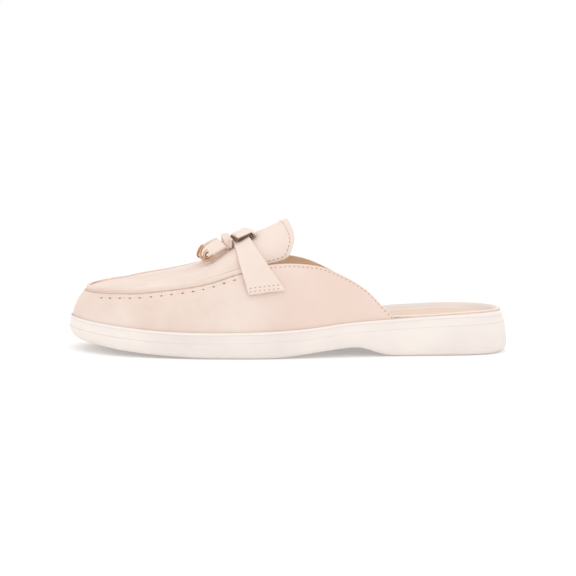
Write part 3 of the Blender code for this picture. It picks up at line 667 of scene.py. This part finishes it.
def soft_material(row):
    """One row of the table of soft finishes."""
    material, nodes, links, shader = new_material(row.name)
    place = nodes.new("ShaderNodeTexCoord").outputs["Object"]
    clouds = noise(nodes, links, place, row.clouds)
    links.new(blend_colours(nodes, links, clouds, row.dark, row.pale), shader.inputs["Base Color"])
    grain = noise(nodes, links, place, row.grain)
    links.new(bump(nodes, links, grain, row.depth, strength=0.5), shader.inputs["Normal"])
    set_inputs(shader, {"Roughness": row.roughness, "Specular IOR Level": row.specular})
    return material


def gold_material():
    material, nodes, links, shader = new_material("rose gold plate")
    place = nodes.new("ShaderNodeTexCoord").outputs["Object"]
    clouds = noise(nodes, links, place, GOLD_CLOUDS, detail=2.0)
    links.new(blend_colours(nodes, links, clouds, shade(GOLD, 0.93), GOLD), shader.inputs["Base Color"])
    grain = noise(nodes, links, place, GOLD_GRAIN, detail=2.0)
    links.new(bump(nodes, links, grain, GOLD_DEPTH, strength=0.3), shader.inputs["Normal"])
    set_inputs(shader, GOLD_SHADER)
    return material


def shade(colour, factor):
    return tuple(channel * factor for channel in colour)


# Soft finishes: both colours of their clouds, scales of the clouds and of the grain, the grain's depth
Finish = namedtuple("Finish", "name dark pale clouds grain depth roughness specular")
FINISHES = (
    Finish("tan lining", shade(LINING_TAN, 0.92), LINING_TAN, 60.0, 1500.0, 0.00004, 0.80, 0.3),
    Finish("peach sock", shade(SOCK_PEACH, 0.95), SOCK_PEACH, 30.0, 1800.0, 0.00005, 0.85, 0.3),
    Finish("cream rubber", RUBBER, RUBBER_LIGHT, 20.0, 900.0, 0.00003, 0.50, 0.4),
    # Cream lip: a lighter cream on the sole's rounded top edge, a painted highlight
    Finish("cream lip highlight", RUBBER_LIGHT, RUBBER_LIGHT, 20.0, 900.0, 0.00003, 0.45, 0.4),
    Finish("pale wrap", shade(WRAP, 0.95), WRAP, 50.0, 1600.0, 0.00004, 0.65, 0.3),
    Finish("thread", shade(THREAD, 0.90), THREAD, 300.0, 4000.0, 0.00003, 0.70, 0.3),
    # Crease: a darker finish, painted shade in the seam's folds
    Finish("crease", shade(CREASE_SHADE_ROSE, 0.90), CREASE_SHADE_ROSE, 200.0, 3000.0, 0.00003, 0.90, 0.3),
    # Fold: darker suede, painted shade in the seam's folds, the collar's groove and the tongue's turned
    # edge, and also the colour of the seam's thread
    Finish("fold", shade(SUEDE_DEEP, 0.90), SUEDE_DEEP, 200.0, 3000.0, 0.00003, 0.90, 0.3),
    # Dark painted shade, under the loop and in the tails' hooked gaps
    Finish("dark painted shade", shade(SHADE_DARK, 0.80), SHADE_DARK, 300.0, 3000.0, 0.00003, 0.90, 0.3),
    # Sole line: darker rubber, painted shade along the moulded side step and in the groove under the lip
    Finish("sole line shade", shade(RUBBER, 0.90), shade(RUBBER, 0.94), 40.0, 900.0, 0.00002, 0.60, 0.3),
    # Rim seam: painted shade where the footbed meets the sole
    Finish("rim seam shade", shade(RIM_SHADE_PEACH, 0.95), RIM_SHADE_PEACH, 60.0, 900.0, 0.00002, 0.70, 0.3),
    # Needle hole: a dark finish, painted shade inside the holes
    Finish("needle hole", shade(HOLE_SHADE_DARK, 0.80), HOLE_SHADE_DARK, 300.0, 4000.0, 0.00003, 0.90, 0.3),
)

body_suede = suede_material("blush suede", SUEDE_DEEP, SUEDE, SUEDE_PINK)
pale_suede = suede_material("pale suede", shade(SUEDE_PALE, 0.95), SUEDE_PALE)
finish = {row.name: soft_material(row) for row in FINISHES}
rose_gold = gold_material()

# Pieces refined from a CAD node as it is: levels of subdivision, and the angle above which edges stay firm
Plain = namedtuple("Plain", "piece material levels crease slot")
PLAIN = {
    "footbed": Plain("wrapped_footbed", finish["pale wrap"], 1, 60, "wrapped_board"),
    "insole": Plain("sock_insole", finish["peach sock"], 1, 60, "tan_sock"),
    "tongue": Plain("suede_tongue", pale_suede, 2, 60, "blush_suede"),
    "strap": Plain("suede_strap", pale_suede, 2, 60, "blush_suede"),
    "tail": Plain("suede_tail", pale_suede, 2, 60, "blush_suede"),
    "tip": Plain("gold_tip", rose_gold, 1, 70, "rose_gold"),
    "loop": Plain("suede_loop", pale_suede, 2, 100, "blush_suede"),
}


def is_inside_face(face):
    """True where a face of the upper looks in at the foot rather than out."""
    spot = face.calc_center_median()
    foot = Vector((spot.x + FOOT_SHIFT, 0.0, min(spot.z, FOOT_HEIGHT)))
    return face.normal.dot(foot - spot) > LINING_FACING * (foot - spot).length


def side_path(side, drop_of, first, last):
    """Points along one side's wall, closer together toward the toe."""
    path = []
    for share in evenly(0, 1, PATH_STEPS):
        along = first + (last - first) * share ** TOE_CROWDING
        path.append(wall_point(side, along, drop_of(along)))
    return path


def hole_drop(along):
    share = smooth_step(HOLE_DROP_START, HOLE_DROP_END, along)
    return HOLE_DROP_TOE + (HOLE_DROP_STRAP - HOLE_DROP_TOE) * share


def hole_path(side):
    return side_path(side, hole_drop, HOLE_FIRST, HOLE_LAST)


def hole_places():
    """Places and directions of the needle holes below the seam, on both sides."""
    places = []
    for side in (-1, 1):
        places += even_places(hole_path(side), HOLE_SPACING)
    return places


def vertex_tree(mesh):
    tree = KDTree(len(mesh.verts))
    for index, vert in enumerate(mesh.verts):
        tree.insert(vert.co, index)
    tree.balance()
    mesh.verts.ensure_lookup_table()
    return tree


def draw_in(mesh, moves):
    for index, depth in moves.items():
        vert = mesh.verts[index]
        vert.co -= vert.normal * depth
    mesh.normal_update()


def soften(mesh):
    """Lays the soft troughs in both sides of the upper's outer face."""
    tree = vertex_tree(mesh)
    moves = {}
    for trough in TROUGHS:
        for side in (-1, 1):
            for share in evenly(0, 1, TROUGH_STEPS):
                along = trough.along + (trough.end_along - trough.along) * share
                drop = trough.drop + (trough.end_drop - trough.drop) * share
                fade = 4 * share * (1 - share)
                spot = wall_point(side, along, drop)
                outward = plan_inward(side, plan_angle(along)) * -1
                for _, vertex, distance in tree.find_range(spot, 2 * trough.width):
                    if mesh.verts[vertex].normal.to_2d().dot(outward) > OUTER_FACING:
                        depth = trough.depth * fade * exp(-(distance / trough.width) ** 2)
                        moves[vertex] = max(moves.get(vertex, 0.0), depth)
    draw_in(mesh, moves)


def pucker(mesh):
    """Draws the suede in at each needle hole, so that it stands up softly between them."""
    tree = vertex_tree(mesh)
    moves = {}
    for place, direction in hole_places():
        for spot, index, _ in tree.find_range(place, 3 * PUCKER_HEIGHT):
            offset = spot - place
            sideways = offset.dot(direction)
            drop = (offset - direction * sideways).length
            depth = exp(-(sideways / PUCKER_WIDTH) ** 2 - (drop / PUCKER_HEIGHT) ** 2)
            moves[index] = moves.get(index, 0.0) + PUCKER_DEPTH * depth
    draw_in(mesh, moves)


def build_upper():
    mesh = refined("upper", levels=2, crease_angle=50)
    mesh.normal_update()
    soften(mesh)
    pucker(mesh)
    for face in mesh.faces:
        face.material_index = 1 if is_inside_face(face) else 0
    materials = [body_suede, finish["tan lining"]]
    return add_piece("suede_upper", mesh, materials, ["upper"], smooth_angle=60)


def build_plain(kind, ending=""):
    row = PLAIN[kind]
    node = kind + ending
    mesh = refined(node, row.levels, row.crease)
    return add_piece(row.piece + ending, mesh, [row.material], [node], smooth_angle=50)


def surface_of(piece):
    return BVHTree.FromObject(piece, bpy.context.evaluated_depsgraph_get())


def on_surface(tree, point):
    location, normal, _, _ = tree.find_nearest(point)
    return location, normal


def add_bead(mesh, place, direction, normal, length, width, height):
    """One stitch or hole: a smooth flattened drop, lying along its direction in the surface."""
    sideways = normal.cross(direction).normalized()
    forward = sideways.cross(normal).normalized()
    turn = Matrix((forward, sideways, normal)).transposed().to_4x4()
    size = Matrix.Diagonal((0.5 * length, 0.5 * width, height, 1.0))
    spot = Matrix.Translation(place) @ turn @ size
    bmesh.ops.create_uvsphere(mesh, u_segments=8, v_segments=6, radius=1.0, matrix=spot)


def add_line(mesh, points, normals, radius, sink):
    """A fine cord laid on the surface, sunk in it by a share of its radius."""
    rings = []
    for index, (point, normal) in enumerate(zip(points, normals)):
        before = points[max(index - 1, 0)]
        after = points[min(index + 1, len(points) - 1)]
        sideways = normal.cross(after - before).normalized()
        middle = point - normal * sink * radius
        ring = []
        for turn in range(CORD_SIDES):
            angle = 2 * pi * turn / CORD_SIDES
            ring.append(mesh.verts.new(middle + (sideways * cos(angle) + normal * sin(angle)) * radius))
        rings.append(ring)
    for near, far in zip(rings, rings[1:]):
        for turn in range(CORD_SIDES):
            following = (turn + 1) % CORD_SIDES
            mesh.faces.new((near[turn], near[following], far[following], far[turn]))
    mesh.faces.new(list(reversed(rings[0])))
    mesh.faces.new(rings[-1])


def lay_line(mesh, tree, path, radius, sink):
    spots = [on_surface(tree, point) for point in path]
    add_line(mesh, [spot[0] for spot in spots], [spot[1] for spot in spots], radius, sink)


def add_stitches(mesh, tree, path):
    for spot, direction in even_places(path, STITCH_SPACING):
        place, normal = on_surface(tree, spot)
        add_bead(mesh, place, direction, normal, STITCH_LENGTH, 2 * STITCH_RADIUS, STITCH_RADIUS)


def build_holes(tree):
    holes = bmesh.new()
    # Each hole is a dark bead on the surface: painted shade where the hole lies in shadow
    for spot, direction in hole_places():
        place, normal = on_surface(tree, spot)
        add_bead(holes, place, direction, normal, HOLE_LENGTH, HOLE_WIDTH, HOLE_BULGE)
    add_piece("seam_hole_shade", holes, [finish["needle hole"]])
    thread = bmesh.new()
    for side in (-1, 1):
        lay_line(thread, tree, hole_path(side), CREASE_RADIUS, THREAD_SINK)
    add_piece("seam_thread", thread, [finish["fold"]])


def outer_crease():
    """Points below the seam, along the lateral wall to the toe and back along the medial wall."""
    lateral = side_path(-1, lambda along: SEAM_CREASE_DROP, 0.0, SEAM_LAST)
    medial = side_path(1, lambda along: SEAM_CREASE_DROP, 0.0, SEAM_LAST)
    return list(reversed(lateral)) + medial[1:]


def inner_crease(side):
    path = []
    for along in evenly(SEAM_FIRST, SEAM_LAST, SEAM_STEPS):
        path.append(wall_point(side, along, 0.0) + inward_shift(side, along, SEAM_INNER_CREASE))
    return path


def build_seam_creases(tree):
    """Painted shade in the folds under the raised seam and along its inner side: a darker line, each on a
    wider soft band of painted shade.
    """
    folds = bmesh.new()
    shading = bmesh.new()
    for path in (outer_crease(), inner_crease(-1), inner_crease(1)):
        lay_line(folds, tree, path, CREASE_RADIUS, CREASE_SINK)
        lay_line(shading, tree, path, CREASE_SHADE_RADIUS, CREASE_SHADE_SINK)
    add_piece("seam_crease_shade", folds, [finish["crease"]])
    add_piece("seam_shading", shading, [finish["fold"]])


def collar_path(side, drop):
    return [wall_point(side, along, drop) for along in evenly(COLLAR_FIRST, COLLAR_LAST, COLLAR_STEPS)]


def build_collar_sewing(tree, side, ending):
    stitches = bmesh.new()
    add_stitches(stitches, tree, collar_path(side, COLLAR_STITCH_DROP))
    add_piece("collar_stitches" + ending, stitches, [finish["thread"]])
    # A darker line in the collar's groove: painted shade
    groove = bmesh.new()
    lay_line(groove, tree, collar_path(side, COLLAR_GROOVE_DROP), TURNED_LINE_RADIUS, COLLAR_GROOVE_SINK)
    add_piece("collar_groove_shade" + ending, groove, [finish["fold"]])


def strap_row(side, drop):
    """Places across the strap's foot, a little outside it, so that its outer face is the nearest."""
    path = []
    for share in evenly(0, 1, STRAP_ROW_STEPS):
        along = STRAP_ROW_FRONT + (STRAP_ROW_REAR - STRAP_ROW_FRONT) * share
        spot = wall_point(side, along, drop + STRAP_ROW_SLANT * share)
        path.append(spot - inward_shift(side, along, STRAP_STANDOFF))
    return path


def build_strap_stitches(tree, side, ending):
    """Two rows of stitches across the strap's foot."""
    mesh = bmesh.new()
    add_stitches(mesh, tree, strap_row(side, STRAP_ROW_DROP))
    add_stitches(mesh, tree, strap_row(side, STRAP_ROW_DROP + STRAP_ROW_GAP))
    add_piece("strap_stitches" + ending, mesh, [finish["thread"]])


def tongue_edge_path(inset, reach):
    """A line round the tongue inside its rear edge, and inside its side edges down to the straps."""
    def rear_spot(v):
        corner = TONGUE_CORNER * max((abs(v) - CORNER_SHARE) / (1 - CORNER_SHARE), 0.0) ** 2
        return TONGUE_REAR + (TONGUE_BOW * v * v - corner - inset) / SHOE_LENGTH

    sides = evenly(TONGUE[1].along, rear_spot(reach), TONGUE_SIDE_STEPS)[:-1]
    path = [tongue_point(along, -reach) for along in sides]
    for turn in evenly(-90, 90, TONGUE_REAR_STEPS):
        v = reach * sin(radians(turn))
        path.append(tongue_point(rear_spot(v), v))
    return path + [tongue_point(along, reach) for along in reversed(sides)]


def build_tongue_sewing(tree):
    stitches = bmesh.new()
    add_stitches(stitches, tree, tongue_edge_path(TONGUE_STITCH_INSET, TONGUE_STITCH_REACH))
    add_piece("tongue_stitches", stitches, [finish["thread"]])
    # A darker line in the tongue's turned edge: painted shade
    fold = bmesh.new()
    path = tongue_edge_path(TONGUE_FOLD_INSET, TONGUE_FOLD_REACH)
    lay_line(fold, tree, path, TURNED_LINE_RADIUS, TONGUE_FOLD_SINK)
    add_piece("tongue_fold_shade", fold, [finish["fold"]])


def middle_of(node):
    corners = [vertex.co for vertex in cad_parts[node].data.vertices]
    low = Vector([min(corner[axis] for corner in corners) for axis in range(3)])
    high = Vector([max(corner[axis] for corner in corners) for axis in range(3)])
    return 0.5 * (low + high)


def hook_path(centre, down, across, reach, ends, leg=0.0):
    """An arc of a circle, its angles from the down direction, with straight legs going up from its ends."""
    path = []
    for turn in evenly(*ends, TRIM_STEPS):
        angle = radians(turn)
        path.append(centre + down * cos(angle) * reach + across * sin(angle) * reach)
    if leg:
        path.insert(0, path[0] - down * leg)
        path.append(path[-1] - down * leg)
    return path


def build_tail_trim(tree, ending):
    """The inner rose gold line of the tail's rim, and the dark hooked gap inside it, in painted shade."""
    tip_middle = middle_of("tip" + ending)
    down = (tip_middle - middle_of("tail" + ending)).normalized()
    place, normal = on_surface(tree, tip_middle + TRIM_AIM)
    across = normal.cross(down).normalized()
    centre = place + normal * TRIM_LIFT + down * TRIM_SHIFT
    line = hook_path(centre, down, across, RIM_LINE_REACH, RIM_LINE_ENDS, RIM_LINE_LEG)
    rim = bmesh.new()
    lay_line(rim, tree, line, RIM_LINE_RADIUS, RIM_LINE_SINK)
    add_piece("tail_line" + ending, rim, [rose_gold])
    hook = bmesh.new()
    lay_line(hook, tree, hook_path(centre, down, across, HOOK_REACH, HOOK_ENDS), HOOK_RADIUS, HOOK_SINK)
    add_piece("tail_hook" + ending, hook, [finish["dark painted shade"]])


def build_knot():
    """The wrapped band, drawn down at its sides, with folds that run round it."""
    mesh = refined("knot", levels=3, crease_angle=60)
    mesh.normal_update()
    centre = middle_of("knot")
    height = max(vert.co.z for vert in mesh.verts) - centre.z
    width = max(vert.co.y for vert in mesh.verts) - centre.y
    length = max(vert.co.x for vert in mesh.verts) - centre.x
    for vert in mesh.verts:
        offset = vert.co - centre
        fold = cos(KNOT_FOLDS * pi * offset.x / length + KNOT_FOLD_SLANT * offset.y / width)
        down = smooth_step(*KNOT_HANG_DOWN, -offset.z / height)
        out = smooth_step(*KNOT_HANG_OUT, abs(offset.y) / width)
        vert.co -= vert.normal * KNOT_FOLD_DEPTH * (1 + fold)
        vert.co.x -= KNOT_LEAN * offset.z
        vert.co.z -= KNOT_HANG * (down * out)
    add_piece("suede_knot", mesh, [pale_suede], ["knot"], smooth_angle=60)


def build_loop_shade():
    """Painted shade: a dark sheet for the shadowed inner fold under the standing loop."""
    mesh = refined("loop", levels=1, crease_angle=60)
    centre = middle_of("loop")
    for vert in mesh.verts:
        vert.co.y = centre.y + LOOP_SHADE_SHARE * (vert.co.y - centre.y)
        vert.co.x = centre.x + LOOP_SHADE_REACH * (vert.co.x - centre.x) + LOOP_SHADE_SHIFT
        vert.co.z -= LOOP_SHADE_DROP
    add_piece("loop_shade", mesh, [finish["dark painted shade"]])


def outline_path(first, last, out, drop):
    """Places round the sole a little outside its plan, below its top edge, from side to side."""
    rows = []
    for side in (-1, 1):
        row = []
        for angle in evenly(first, last, OUTLINE_STEPS):
            flat = plan_point(side, angle) - plan_inward(side, angle) * out
            along = 0.5 * (1 - cos(angle))
            row.append(Vector((flat.x, flat.y, sole_top(along) - drop)))
        rows.append(row)
    return rows[0] + list(reversed(rows[1]))


def build_rim_seam(tree):
    """A peach line of painted shade along the wrapped footbed's edge, where it meets the sole round the open
    heel.
    """
    mesh = bmesh.new()
    path = outline_path(plan_angle(RIM_SEAM_START), pi, -RIM_SEAM_INSET, -RIM_SEAM_RISE)
    lay_line(mesh, tree, path, RIM_SEAM_RADIUS, RIM_SEAM_SINK)
    add_piece("rim_seam_shade", mesh, [finish["rim seam shade"]])


def build_sole_lines(tree):
    """The fine line moulded along the sole's side, and the one under its lip, both in darker rubber as
    painted shade.
    """
    mesh = bmesh.new()
    for drop in (SIDE_LINE_DROP, LIP_HEIGHT):
        lay_line(mesh, tree, outline_path(0.0, pi, SIDE_LINE_OUT, drop), SIDE_LINE_RADIUS, SIDE_LINE_SINK)
    add_piece("sole_lines", mesh, [finish["sole line shade"]])


def build_sole():
    """The rubber unit, its rounded top lip a lighter cream as a painted highlight, and its heel's top edge
    eased.
    """
    mesh = refined("outsole", levels=1, crease_angle=35)
    for vert in mesh.verts:
        low = HEEL_HEIGHT - vert.co.z
        rear = smooth_step(HEEL_EASE_START, HEEL_EASE_FULL, vert.co.x / SHOE_LENGTH)
        vert.co.x -= HEEL_EASE * rear * max(1 - low / HEEL_EASE_HEIGHT, 0.0) ** 2
    # Faces near the sole's top edge take the lighter cream: a painted highlight
    for face in mesh.faces:
        spot = face.calc_center_median()
        along = min(max(spot.x / SHOE_LENGTH + 0.5, 0.0), 1.0)
        if spot.z > sole_top(along) - LIP_HIGHLIGHT_BAND:
            face.material_index = 1
    materials = [finish["cream rubber"], finish["cream lip highlight"]]
    return add_piece("rubber_sole", mesh, materials, ["outsole"], smooth_angle=50)


photo_camera()
studio()

upper_surface = surface_of(build_upper())
build_holes(upper_surface)
build_seam_creases(upper_surface)
build_sole_lines(surface_of(build_sole()))
build_rim_seam(surface_of(build_plain("footbed")))
build_plain("insole")
build_tongue_sewing(surface_of(build_plain("tongue")))
for side, ending in ((-1, "_lateral"), (1, "_medial")):
    build_collar_sewing(upper_surface, side, ending)
    build_strap_stitches(surface_of(build_plain("strap", ending)), side, ending)
    tail = build_plain("tail", ending)
    build_plain("tip", ending)
    build_tail_trim(surface_of(tail), ending)
build_knot()
build_loop_shade()
build_plain("loop")
